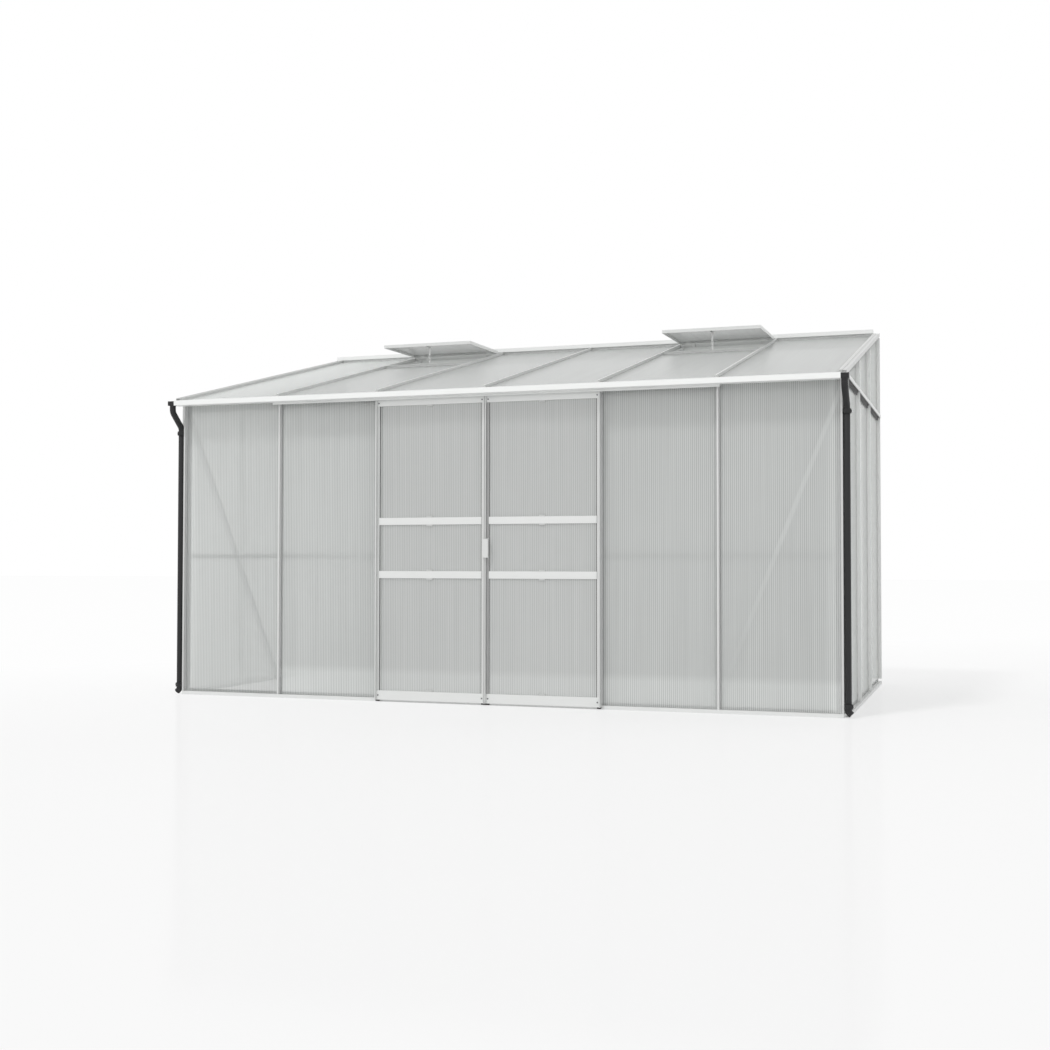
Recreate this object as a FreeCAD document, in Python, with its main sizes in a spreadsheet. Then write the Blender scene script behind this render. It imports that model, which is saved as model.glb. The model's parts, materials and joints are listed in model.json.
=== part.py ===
"""Lean-to greenhouse: an aluminium frame of six bays against a wall, glazed with twin-wall sheet.

X runs along the wall, Y from the front to the wall and Z up. The origin is on the ground, in the
middle of the greenhouse's outer box. All sizes are in millimetres and degrees.
"""
import FreeCAD
import Part
import Sketcher
import math
import os
import re

# Driving dimensions. Each is one cell of the sheet, under the same name.
SIZES = {
    # Frame as a whole
    "bay": 620,
    "door_zone": 1271.5,
    "depth": 2050,
    "gutter_reach": 104,
    "eaves_height": 1667,
    "roof_rise": 59,
    "roof_pitch": 13.77,
    # Sheet and sections
    "pane": 6,
    "metal": 2,
    "pane_gap": 1,
    "seat_gap": 1,
    "overcut": 1,
    "rib_width": 10,
    "rib_proud": 20,
    "roof_rib_proud": 15,
    "bar_flange": 30,
    "bar_channel": 14,
    "bar_channel_depth": 20,
    "strip_width": 4,
    "strip_height": 3,
    # Sill
    "sill_face": 19,
    "sill_upstand": 15,
    "anchor_inset": 10,
    # Gutter and door track
    "gutter_face": 28.5,
    "plate_rise": 25,
    "web_drop": 27,
    "track_depth": 40,
    "track_drop": 3,
    "track_skirt": 8,
    "track_lip": 20,
    "track_overrun": 20,
    "track_lug": 12,
    "stop_length": 15,
    # Ridge plate and verge
    "ridge_face": 26,
    "ridge_cap": 26,
    "ridge_drop": 80,
    "ridge_right_inset": 14,
    "ridge_left_overrun": 28,
    "ridge_clearance": 1.5,
    "ridge_hole_rise": 15,
    "channel_gap": 4,
    "bar_end_gap": 4,
    "roof_bar_eave": 25,
    "verge_eave": 45,
    "roof_pane_eave": 50,
    "verge_flange": 30,
    "verge_reach": 26,
    "verge_dish": 3,
    "verge_rib": 17,
    "verge_rib_inset": 13,
    "verge_leg": 37,
    "verge_leg_gap": 8,
    # Gable
    "gable_bar_pitch": 655,
    "gable_lip": 4,
    "eaves_web_drop": 30,
    "eaves_web_rise": 20,
    "eaves_lip": 20,
    "wall_leg": 40,
    "wall_rib": 12,
    # Inner rail and brace
    "mid_rail_height": 788,
    "mid_rail_face": 23,
    "mid_rail_thickness": 3,
    "brace_width": 15,
    "brace_drop": 37,
    "brace_foot": 70,
    "brace_end": 12,
    # Door leaf
    "leaf_gap": 2,
    "leaf_thickness": 12,
    "leaf_overlap": 6,
    "leaf_clearance": 1.5,
    "leaf_foot": 11,
    "leaf_head_gap": 9,
    "stile_width": 20,
    "stile_rib": 6,
    "stile_rib_proud": 16,
    "stile_slot": 11,
    "rail_proud": 4,
    "rail_slot": 8,
    "top_rail_depth": 33,
    "upper_rail_foot": 970,
    "lower_rail_foot": 678,
    "mid_rail_depth": 39,
    "bottom_rail_depth": 51,
    "clip_width": 34,
    "clip_height": 8,
    "clip_proud": 5,
    "screw_radius": 4,
    "screw_height": 2.5,
    "screw_inset": 16,
    "handle_width": 33,
    "handle_height": 100,
    "handle_foot": 790,
    "handle_depth": 13,
    "handle_reach": 7,
    "handle_pad": 1,
    # Rollers and glides
    "roller_radius": 10,
    "roller_width": 8,
    "roller_running_gap": 0.3,
    "roller_inset": 90,
    "roller_lane": 4,
    "axle_radius": 3,
    "axle_clearance": 0.15,
    "axle_wall": 4,
    "bracket_width": 30,
    "bracket_plate": 3,
    "glide_height": 8,
    # Roof vents
    "vent_hinge_gap": 118,
    "vent_lift": 4,
    "vent_side_gap": 7,
    "vent_length": 521,
    "vent_height": 20,
    "vent_below": 2,
    "vent_flange": 22,
    "vent_open": 12.6,
    "vent_heel": 6,
    "hinge_rod_radius": 2.5,
    "hinge_clearance": 0.3,
    "knuckle_radius": 6,
    "knuckle_length": 40,
    "knuckle_inset": 40,
    "knuckle_gap": 2,
    "lug_width": 20,
    "hinge_bar_gap": 12,
    "vent_overhang": 4.2,
    "curb_drop": 30,
    "curb_seat": 15,
    "curb_lip": 6,
    "curb_clearance": 2,
    # Stay
    "stay_inset": 51,
    "stay_width": 12,
    "stay_thickness": 3,
    "stay_hole_radius": 4,
    "stay_hole_inset": 10,
    "stay_hole_pitch": 22,
    "stay_eye_wall": 2.5,
    "cheek_gap": 1,
    "cheek_reach": 6,
    "cheek_plate_gap": 8,
    "peg_drop": 12.7,
    "peg_radius": 2.5,
    "peg_end": 6,
    "stay_pin_radius": 2.5,
    # Rain water
    "outlet_rim": 2.5,
    "outlet_neck": 17,
    "outlet_lap": 2,
    "outlet_mouth": 24,
    "pipe_radius": 17,
    "pipe_wall": 2,
    "pipe_stand": 2.75,
    "pipe_set": 8,
    "neck_drop": 37,
    "offset_drop": 122,
    "bend_radius": 38,
    "collar_wall": 5.5,
    "collar_height": 23,
    "collar_lug": 2,
    "collar_lug_half": 6,
    "collar_top_drop": 152,
    "collar_foot_mid": 55,
    "shoe_bend_radius": 30,
    "shoe_knee": 30.5,
    "shoe_tail": 22,
    "shoe_turn": 45,
    # Bolts and holes
    "bolt_radius": 3,
    "nut_radius": 5.8,
    "bolt_head": 9,
    "nut_height": 5,
    "bolt_end": 2,
    "washer_rim": 1,
    "spacer_wall": 2,
    "web_bolt_drop": 10,
    "anchor_radius": 4,
    "wall_hole_low": 400,
    "wall_hole_rise": 1000,
    "sill_hole_rise": 1000,
}

# Places worked out from the driving dimensions.
PLACES = {
    "wall": "(depth + gutter_reach) / 2",
    "front": "wall - depth",
    "pane_face": "front + rib_proud",
    "pane_back": "pane_face + pane",
    "flange_back": "pane_back + metal",
    "post_rib_low": "pane_back + seat_gap",
    "post_rib_high": "post_rib_low + rib_width",
    "sill_depth": "rib_proud + pane + metal + bar_channel_depth",
    "leg_back": "front + sill_depth",
    "jamb_x": "door_zone / 2",
    "bar_x": "jamb_x + bay",
    "corner_x": "bar_x + bay",
    "corner_face": "corner_x + rib_width / 2",
    "gable_pane_face": "corner_face + pane",
    "gable_face": "gable_pane_face + rib_proud",
    "post_bolt_x": "corner_x - rib_width / 2",
    "plate_top": "eaves_height + plate_rise",
    "plate_under": "plate_top - metal",
    "lip": "front - gutter_reach",
    "roof_base": "eaves_height + roof_rise",
    "under_rib": "roof_rib_proud + pane",
    "under_flange": "under_rib + metal",
    "under_leg": "under_flange + bar_channel_depth",
    "roof_end": "(depth - bar_end_gap - under_leg * sin(roof_pitch)) / cos(roof_pitch)",
    "ridge_low": "roof_base + (depth - ridge_cap) * tan(roof_pitch) + ridge_clearance",
    "ridge_top": "ridge_low + ridge_face",
    "leaf_back": "front - leaf_gap",
    "leaf_face": "leaf_back - leaf_thickness",
    "leaf_rib_face": "leaf_face - stile_rib_proud",
    "rail_face": "leaf_face - rail_proud",
    "leaf_head": "eaves_height - leaf_head_gap",
    "top_rail_foot": "leaf_head - top_rail_depth",
    "leaf_outer": "jamb_x + leaf_overlap",
    "leaf_inner": "leaf_clearance",
    "leaf_pane_back": "leaf_back - (leaf_thickness - pane) / 2",
    "leaf_pane_face": "leaf_pane_back - pane",
    "track_face": "front - track_depth",
    "trough_back": "track_face - metal",
    "track_low": "eaves_height - track_drop",
    "roller_z": "track_low + metal + roller_running_gap + roller_radius",
    "roller_face": "track_face + metal + roller_lane",
    "roller_back": "roller_face + roller_width",
    "strap_face": "track_face + track_lip + metal",
    "brace_top": "eaves_height - brace_drop",
    "vent_hinge": "depth - vent_hinge_gap",
    "vent_width": "bay - vent_side_gap",
    "hinge_y": "front + vent_hinge - vent_lift * sin(roof_pitch)",
    "hinge_z": "roof_base + vent_hinge * tan(roof_pitch) + vent_lift * cos(roof_pitch)",
    "vent_tilt": "roof_pitch - vent_open",
    "vent_x": "(jamb_x + bar_x) / 2",
    "curb_start": "vent_hinge / cos(roof_pitch) - vent_length + vent_overhang",
    "stay_pivot": "vent_length - stay_inset",
    "stay_pin_y": "hinge_y - stay_pivot * cos(vent_tilt)",
    "stay_pin_z": "hinge_z - stay_pivot * sin(vent_tilt)",
    "peg_z": "roof_base + curb_start * sin(roof_pitch) - peg_drop",
    "pipe_x": "corner_face + pipe_stand + pipe_radius",
    "pipe_y": "front + pipe_set",
    "outlet_width": "2 * (pipe_radius + outlet_rim)",
    "outlet_depth": "2 * (pipe_radius + pipe_wall)",
    "neck_y": "lip + outlet_depth / 2",
    "collar_radius": "pipe_radius + collar_wall",
    "collar_top_mid": "eaves_height - collar_top_drop",
    "gutter_end": "pipe_x - outlet_width / 2 + outlet_lap",
}

# Inclined frames: where their origin is in Y and Z, and how far they lean back from level.
FRAMES = {
    "roof": ("front", "roof_base", "roof_pitch"),
    "vent": ("hinge_y", "hinge_z", "vent_tilt"),
}

SIDES = {"left": -1, "right": 1}

# The ridge plate runs past the left verge and stops short of the right one
RIDGE_ENDS = {-1: "corner_face + ridge_left_overrun", 1: "corner_face - ridge_right_inset"}

# Middles of the six bays, in bays from the door's centre line
BAY_MIDDLES = [step - 2.5 for step in range(6)]

doc = FreeCAD.newDocument("lean_to_greenhouse")
sheet = doc.addObject("Spreadsheet::Sheet", "Sizes")
for row, (alias, number) in enumerate(SIZES.items(), start=1):
    sheet.set(f"A{row}", alias)
    sheet.set(f"B{row}", str(number))
    sheet.setAlias(f"B{row}", alias)
doc.recompute()

nodes = []


def full(text):
    """Write a short expression out in cells of the sheet."""
    def swap(match):
        word = match.group(0)
        if word in PLACES:
            return "(" + full(PLACES[word]) + ")"
        if word in SIZES:
            return "Sizes." + word
        return word
    return re.sub(r"[A-Za-z_]\w*", swap, str(text))


def bind(thing, prop, text):
    thing.setExpression(prop, full(text))


def size(alias):
    return float(sheet.get(alias))


def mirror(low, high, side):
    """A span along X on the right (side 1), or its mirror image on the left (side -1)."""
    if side > 0:
        return low, high
    return f"-({high})", f"-({low})"


def set_place(thing, x, y, z, frame=None, turn=None):
    """Place a piece at x, y, z, or at x, v, w in an inclined frame."""
    axis, angle = turn if turn else (FreeCAD.Vector(1, 0, 0), 1)
    thing.Placement = FreeCAD.Placement(FreeCAD.Vector(), FreeCAD.Rotation(axis, angle))
    bind(thing, "Placement.Base.x", x)
    if frame is None:
        bind(thing, "Placement.Base.y", y)
        bind(thing, "Placement.Base.z", z)
        if turn is None:
            thing.Placement.Rotation = FreeCAD.Rotation()
        return
    origin_y, origin_z, tilt = FRAMES[frame]
    bind(thing, "Placement.Base.y", f"{origin_y} + ({y}) * cos({tilt}) - ({z}) * sin({tilt})")
    bind(thing, "Placement.Base.z", f"{origin_z} + ({y}) * sin({tilt}) + ({z}) * cos({tilt})")
    if turn is None:
        bind(thing, "Placement.Rotation.Angle", tilt)


def box(x, y, z, frame=None):
    """A block between pairs of low and high values."""
    block = doc.addObject("Part::Box", "block")
    bind(block, "Length", f"({x[1]}) - ({x[0]})")
    bind(block, "Width", f"({y[1]}) - ({y[0]})")
    bind(block, "Height", f"({z[1]}) - ({z[0]})")
    set_place(block, x[0], y[0], z[0], frame)
    return block


def rod(axis, x, y, z, radius, frame=None):
    """A round bar along X, Y or Z. The value along its axis is a pair, low and high."""
    bar = doc.addObject("Part::Cylinder", "rod")
    span = {"X": x, "Y": y, "Z": z}[axis]
    bind(bar, "Radius", radius)
    bind(bar, "Height", f"({span[1]}) - ({span[0]})")
    if axis == "X":
        set_place(bar, x[0], y, z, frame, (FreeCAD.Vector(0, 1, 0), 90))
    elif axis == "Y":
        set_place(bar, x, y[0], z, None, (FreeCAD.Vector(1, 0, 0), -90))
    else:
        set_place(bar, x, y, z[0], frame)
    return bar


def profile(plane, outline, low, high, frame=None):
    """A section drawn on a plane of its own body and extruded from low to high.

    The outline's pairs are X, Y on the XY plane, X, Z on the XZ plane and Y, Z on the YZ plane.
    """
    body = doc.addObject("PartDesign::Body", "section")
    base_plane = [item for item in body.Origin.OriginFeatures if item.Role == plane + "_Plane"][0]
    sketch = body.newObject("Sketcher::SketchObject", "outline")
    sketch.AttachmentSupport = [(base_plane, "")]
    sketch.MapMode = "FlatFace"
    count = len(outline)
    turn = 2 * math.pi / count
    ring = [FreeCAD.Vector(math.cos(turn * index), math.sin(turn * index), 0) * 100 for index in range(count)]
    for index in range(count):
        sketch.addGeometry(Part.LineSegment(ring[index], ring[(index + 1) % count]), False)
    joins = [Sketcher.Constraint("Coincident", index, 2, (index + 1) % count, 1) for index in range(count)]
    sketch.addConstraint(joins)
    for index, (across, up) in enumerate(outline):
        for kind, start, text in (("DistanceX", ring[index].x, across), ("DistanceY", ring[index].y, up)):
            number = sketch.addConstraint(Sketcher.Constraint(kind, -1, 1, index, 1, start))
            bind(sketch, f"Constraints[{number}]", text)
    shift = f"-({high})" if plane == "XZ" else low
    bind(sketch, "AttachmentOffset.Base.z", shift)
    pad = body.newObject("PartDesign::Pad", "extrusion")
    pad.Profile = sketch
    bind(pad, "Length", f"({high}) - ({low})")
    if frame is not None:
        set_place(body, "0", "0", "0", frame)
    return body


def about(outline, across, up, side=1):
    """Move an outline to a point, mirrored when side is -1."""
    return [(f"{side} * (({across}) + ({a}))", f"({up}) + ({b})") for a, b in outline]


def fuse(pieces):
    if len(pieces) == 1:
        return pieces[0]
    union = doc.addObject("Part::MultiFuse", "union")
    union.Shapes = pieces
    return union


def cut(base, tools):
    """Take tools away from a piece."""
    gather = doc.addObject("Part::Compound", "tools")
    gather.Links = tools
    result = doc.addObject("Part::Cut", "cut")
    result.Base = base
    result.Tool = gather
    return result


def node(name, pieces):
    """Name a sub-part. Pieces that are separate solids stay separate in it."""
    whole = doc.addObject("Part::Compound", name)
    whole.Links = pieces
    whole.Label = name
    nodes.append(whole)
    return whole


def roof_z(depth_in, drop="0"):
    """Height of the roof bars' top line, less a drop square to the roof, at a depth from the bar faces."""
    return f"(roof_base + ({depth_in}) * tan(roof_pitch) - ({drop}) / cos(roof_pitch))"


# Bar section: a rib between the panes, and a flange with an open bolt channel behind them

def bar_back(flange, channel, deep, wall):
    """Outline of the flange and channel, as pairs across and back from the pane's inner face."""
    half = f"{flange} / 2"
    outer = f"{channel} / 2"
    inner = f"{channel} / 2 - {wall}"
    end = f"{wall} + {deep}"
    right = [(half, "0"), (half, wall), (outer, wall), (outer, end), (inner, end), (inner, wall)]
    left = [(f"-({a})", b) for a, b in reversed(right)]
    return [(f"-({half})", "0")] + [(half, "0")] + right[1:] + left[:-1]


BACK = bar_back("bar_flange", "bar_channel", "bar_channel_depth", "metal")


def wall_bar(x, low, back_low, high, back_high):
    """An upright bar of the front wall at x."""
    rib = box((f"{x} - rib_width / 2", f"{x} + rib_width / 2"), ("front", "pane_back"), (low, high))
    outline = [(f"({x}) + ({a})", f"pane_back + ({b})") for a, b in BACK]
    back = profile("XY", outline, back_low, back_high)
    return fuse([rib, back])


def gable_bar(y, low, back_low, high, back_high, side):
    """An upright bar of a gable at y, its channel pointing into the greenhouse."""
    across = mirror("corner_face", "gable_face", side)
    rib = box(across, (f"{y} - rib_width / 2", f"{y} + rib_width / 2"), (low, high))
    outline = [(f"{side} * (corner_face - ({b}))", f"({y}) + ({a})") for a, b in BACK]
    back = profile("XY", outline, back_low, back_high)
    return fuse([rib, back])


def roof_bar(x):
    """A roof bar at x. Its channel starts behind the gutter's web."""
    rib = box((f"{x} - rib_width / 2", f"{x} + rib_width / 2"),
              ("-roof_bar_eave", "roof_end"), ("-under_rib", "0"), "roof")
    flange = box((f"{x} - bar_flange / 2", f"{x} + bar_flange / 2"),
                 ("-roof_bar_eave", "roof_end"), ("-under_flange", "-under_rib"), "roof")
    start = "(sill_depth + metal + channel_gap) / cos(roof_pitch)"
    half = "bar_channel / 2"
    cheeks = []
    for low, high in ((f"{x} - {half}", f"{x} - {half} + metal"), (f"{x} + {half} - metal", f"{x} + {half}")):
        cheeks.append(box((low, high), (start, "roof_end"), ("-under_leg", "-under_flange"), "roof"))
    return fuse([rib, flange] + cheeks)


# Sills: a ground flange, a face, a shelf under the panes and an upstand behind them
SILL = [("0", "0"), ("sill_depth", "0"), ("sill_depth", "metal"), ("metal", "metal"),
        ("metal", "sill_face - metal"), ("rib_proud + pane", "sill_face - metal"),
        ("rib_proud + pane + metal", "sill_face - metal"),
        ("rib_proud + pane + metal", "sill_face + sill_upstand"),
        ("rib_proud + pane", "sill_face + sill_upstand"),
        ("rib_proud + pane", "sill_face"), ("0", "sill_face")]


def make_sills():
    outline = [(f"front + ({a})", b) for a, b in SILL]
    front_sill = profile("YZ", outline, "-corner_face", "corner_face")
    holes = []
    through = ("-overcut", "metal + overcut")
    for step in BAY_MIDDLES:
        holes.append(rod("Z", f"{step} * bay", "leg_back - anchor_inset", through, "anchor_radius"))
    node("front_sill", [cut(front_sill, holes)])
    pieces = []
    for side in SIDES.values():
        outline = [(f"{side} * (gable_face - ({a}))", b) for a, b in SILL]
        gable_sill = profile("XZ", outline, "leg_back + pane_gap", "wall")
        holes = []
        for step in (-0.5, 0.5):
            y = f"{step} * sill_hole_rise"
            x = f"{side} * (gable_face - sill_depth + anchor_inset)"
            holes.append(rod("Z", x, y, through, "anchor_radius"))
        pieces.append(cut(gable_sill, holes))
    node("gable_sills", pieces)


def make_posts():
    """Corner posts with a rib to the front and one to the gable, and wall posts with a bolted leg."""
    side_low = "rib_proud + pane + seat_gap"
    side_high = "rib_proud + pane + seat_gap + rib_width"
    corner = [("-rib_width", "0"), ("0", "0"), ("0", side_low), ("pane + rib_proud", side_low),
              ("pane + rib_proud", side_high), ("0", side_high), ("0", f"{side_high} + bar_flange"),
              ("-metal", f"{side_high} + bar_flange"), ("-metal", side_high), ("-rib_width", side_high),
              ("-rib_width", "rib_proud + pane + metal"),
              ("-rib_width - bar_flange", "rib_proud + pane + metal"),
              ("-rib_width - bar_flange", "rib_proud + pane"), ("-rib_width", "rib_proud + pane")]
    posts = []
    for side in SIDES.values():
        outline = about(corner, "corner_face", "front", side)
        post = profile("XY", outline, "sill_face", "plate_under")
        # the upstand of the sill passes behind the panes
        inner = "corner_face - rib_width - bar_flange - overcut"
        notch = box(mirror(inner, "corner_face + overcut", side),
                    ("pane_back", "flange_back"), ("sill_face - overcut", "sill_face + sill_upstand"))
        web = box(mirror(inner, "gable_face + overcut", side),
                  ("leg_back", "leg_back + metal"), ("eaves_height - web_drop", "plate_top"))
        heel = box(mirror("corner_face - metal", "corner_face", side),
                   ("leg_back", "post_rib_high + bar_flange + overcut"),
                   ("sill_face - overcut", "sill_face + sill_upstand"))
        posts.append(cut(post, [notch, web, heel]))
    node("corner_posts", posts)

    leg = [("pane + rib_proud", "-wall_rib"), ("pane + rib_proud", "0"), ("-wall_leg", "0"),
           ("-wall_leg", "-metal"), ("-metal", "-metal"), ("-metal", "-wall_rib - bar_flange"),
           ("0", "-wall_rib - bar_flange"),
           ("0", "-wall_rib")]
    top = roof_z("depth - wall_rib - bar_flange", "under_flange + seat_gap")
    posts = []
    for side in SIDES.values():
        outline = about(leg, "corner_face", "wall", side)
        post = profile("XY", outline, "sill_face + sill_upstand", top)
        holes = []
        for height in ("wall_hole_low", "wall_hole_low + wall_hole_rise"):
            x = f"{side} * (corner_face - wall_leg / 2 - metal)"
            holes.append(rod("Y", x, ("wall - metal - overcut", "wall + overcut"), height, "anchor_radius"))
        across = mirror("corner_face - wall_leg - overcut", f"{RIDGE_ENDS[side]} + overcut", side)
        plate_room = box(across, ("wall - metal", "wall + overcut"),
                         ("ridge_low - ridge_drop - seat_gap", "ridge_top"))
        posts.append(cut(post, holes + [plate_room]))
    node("wall_posts", posts)


def make_front_bars():
    back_low = "sill_face + sill_upstand"
    for name, place in (("front_glazing_bars", "bar_x"), ("door_jamb_bars", "jamb_x")):
        bars = []
        for side in SIDES.values():
            x = f"({side} * ({place}))"
            bars.append(wall_bar(x, "sill_face", back_low, "plate_under", "plate_under"))
        node(name, bars)


def make_gable_bars():
    """Lower bars stand on the sill and end under the eaves rail. Upper bars go on to the verge."""
    bars = []
    for side in SIDES.values():
        for step in (1, 2):
            y = f"(front + {step} * gable_bar_pitch)"
            depth_in = f"{step} * gable_bar_pitch - bar_flange / 2"
            bars.append(gable_bar(y, "sill_face", "sill_face + sill_upstand",
                                  "plate_top - metal / 2", "plate_top - eaves_web_drop", side))
            bars.append(gable_bar(y, "plate_top + metal / 2", "plate_top + eaves_web_rise + seat_gap",
                                  roof_z(depth_in, "under_flange"),
                                  roof_z(depth_in, "under_flange + verge_leg"), side))
    node("gable_glazing_bars", bars)


def make_eaves_rails():
    """Rails across the gables level with the gutter's plate: a web behind the panes, a shelf and a lip."""
    reach = "pane + rib_proud + gable_lip"
    section = [("0", "-metal / 2"), (f"{reach} - metal", "-metal / 2"),
               (f"{reach} - metal", "-eaves_lip / 2"), (reach, "-eaves_lip / 2"),
               (reach, "eaves_lip / 2"), (f"{reach} - metal", "eaves_lip / 2"),
               (f"{reach} - metal", "metal / 2"), ("0", "metal / 2")]
    rails = []
    for side in SIDES.values():
        web = box(mirror("corner_face - metal", "corner_face", side),
                  ("post_rib_high + bar_flange + seat_gap", "wall - wall_rib - bar_flange"),
                  ("plate_top - eaves_web_drop", "plate_top + eaves_web_rise"))
        outline = about(section, "corner_face", "plate_top", side)
        shelf = profile("XZ", outline, "leg_back + metal + seat_gap", "wall - wall_rib")
        rails.append(fuse([web, shelf]))
    node("gable_eaves_rails", rails)


def make_gutter():
    """Gutter and eaves beam in one section, and the door track under it with its skirt."""
    section = [("lip", "eaves_height"), ("trough_back", "eaves_height"), ("trough_back", "plate_under"),
               ("leg_back", "plate_under"), ("leg_back", "eaves_height - web_drop"),
               ("leg_back + metal", "eaves_height - web_drop"),
               ("leg_back + metal", roof_z("sill_depth", "under_flange")),
               ("leg_back", roof_z("sill_depth", "under_flange")), ("leg_back", "plate_top"),
               ("trough_back - metal", "plate_top"), ("trough_back - metal", "eaves_height + metal"),
               ("lip + metal", "eaves_height + metal"), ("lip + metal", "eaves_height + gutter_face"),
               ("lip", "eaves_height + gutter_face")]
    gutter = profile("YZ", section, "-gutter_end", "gutter_end")
    holes = []
    for side in SIDES.values():
        for place in ("jamb_x", "bar_x"):
            holes.append(rod("Y", f"{side} * ({place})", ("leg_back - overcut", "leg_back + metal + overcut"),
                             "eaves_height - web_bolt_drop", "bolt_radius"))
        holes.append(box(mirror("corner_face", "gutter_end + overcut", side),
                         ("front", "leg_back + metal + overcut"),
                         ("eaves_height - web_drop - overcut", "roof_base")))
    node("eaves_gutter", [cut(gutter, holes)])

    skirt = "track_low - track_skirt"
    track = [("track_face", skirt), ("track_face + metal", skirt), ("track_face + metal", "track_low"),
             ("track_face + track_lip", "track_low"),
             ("track_face + track_lip", "track_low + metal"), ("track_face + metal", "track_low + metal"),
             ("track_face + metal", "plate_under - metal"), ("front - metal", "plate_under - metal"),
             ("front - metal", "plate_under - track_lug"), ("front", "plate_under - track_lug"),
             ("front", "plate_under"),
             ("track_face", "plate_under")]
    node("door_top_track", [profile("YZ", track, "-(bar_x + track_overrun)", "bar_x + track_overrun")])


def make_ridge_plate():
    """Plate along the wall whose cap covers the upper ends of the bars and panes."""
    base = "(ridge_low - ridge_drop)"
    section = [("wall - ridge_cap", "ridge_low"), ("wall - ridge_cap + metal", "ridge_low"),
               ("wall - ridge_cap + metal", "ridge_top - metal"), ("wall - metal", "ridge_top - metal"),
               ("wall - metal", base), ("wall", base), ("wall", "ridge_top"),
               ("wall - ridge_cap", "ridge_top")]
    plate = profile("YZ", section, f"-({RIDGE_ENDS[-1]})", RIDGE_ENDS[1])
    holes = []
    for step in BAY_MIDDLES:
        holes.append(rod("Y", f"{step} * bay", ("wall - metal - overcut", "wall + overcut"),
                         f"{base} + ridge_hole_rise", "anchor_radius"))
    node("ridge_wall_plate", [cut(plate, holes)])


def make_verges():
    """Verge rafters: an inner rib, a shallow dish beside it, and a face over the gable's edge."""
    rib_side = "-verge_rib_inset + verge_rib"
    face_back = "verge_reach - metal"
    top = [("-verge_flange", "-under_flange"), (rib_side, "-under_flange"),
           (rib_side, "-verge_dish - metal"), (face_back, "-verge_dish - metal"),
           (face_back, "-under_flange"), ("verge_reach", "-under_flange"), ("verge_reach", "0"),
           (face_back, "0"), (face_back, "-verge_dish"), (rib_side, "-verge_dish"), (rib_side, "0"),
           ("-verge_rib_inset", "0"), ("-verge_rib_inset", "-under_rib"), ("-verge_flange", "-under_rib")]
    # the leg starts where it clears the web of the eaves rail
    lift = "plate_rise + eaves_web_rise + seat_gap - roof_rise"
    start = f"((under_flange + verge_leg) * cos(roof_pitch) + {lift}) / sin(roof_pitch)"
    rafters = []
    for side in SIDES.values():
        outline = about(top, "corner_face", "0", side)
        upper = profile("XZ", outline, "-verge_eave", "roof_end", "roof")
        leg = box(mirror("corner_face - metal", "corner_face", side),
                  (start, "roof_end - wall_rib - bar_flange - verge_leg_gap"),
                  ("-under_flange - verge_leg", "-under_flange"), "roof")
        rafters.append(fuse([upper, leg]))
    node("verge_rafters", rafters)


def make_roof_bars():
    places = ["-bar_x", "-jamb_x", "0", "jamb_x", "bar_x"]
    node("roof_glazing_bars", [roof_bar(f"({place})") for place in places])


def make_inner_rails():
    """Mid-height flats behind the fixed bays, and a flat brace across each outer bay."""
    rails = []
    braces = []
    deep = ("leg_back - overcut", "leg_back + mid_rail_thickness + metal + overcut")
    middle = "mid_rail_height + mid_rail_face / 2"
    for side in SIDES.values():
        rail = box(mirror("jamb_x - bar_channel / 2", "corner_face - metal - seat_gap", side),
                   ("leg_back", "leg_back + mid_rail_thickness"),
                   ("mid_rail_height", "mid_rail_height + mid_rail_face"))
        holes = [rod("Y", f"{side} * ({place})", deep, middle, "bolt_radius")
                 for place in ("jamb_x", "bar_x", "post_bolt_x")]
        rails.append(cut(rail, holes))
        half = "brace_width / 2"
        low = "brace_foot - brace_end"
        high = "brace_top + brace_end"
        ends = [(f"bar_x - {half}", low), (f"bar_x + {half}", low),
                (f"post_bolt_x + {half}", high), (f"post_bolt_x - {half}", high)]
        outline = [(f"{side} * ({a})", b) for a, b in ends]
        brace = profile("XZ", outline, "leg_back + mid_rail_thickness",
                        "leg_back + mid_rail_thickness + metal")
        holes = [rod("Y", f"{side} * ({place})", deep, height, "bolt_radius")
                 for place, height in (("bar_x", "brace_foot"), ("post_bolt_x", "brace_top"))]
        braces.append(cut(brace, holes))
    node("front_mid_rails", rails)
    node("corner_braces", braces)


def bay_edges():
    """Clear spans between ribs, from the left corner to the right corner, without the door bays."""
    half = "(rib_width / 2 + pane_gap)"
    outer = (f"bar_x + {half}", f"corner_x - {half}")
    inner = (f"jamb_x + {half}", f"bar_x - {half}")
    return [mirror(*outer, -1), mirror(*inner, -1), mirror(*inner, 1), mirror(*outer, 1)]


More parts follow.
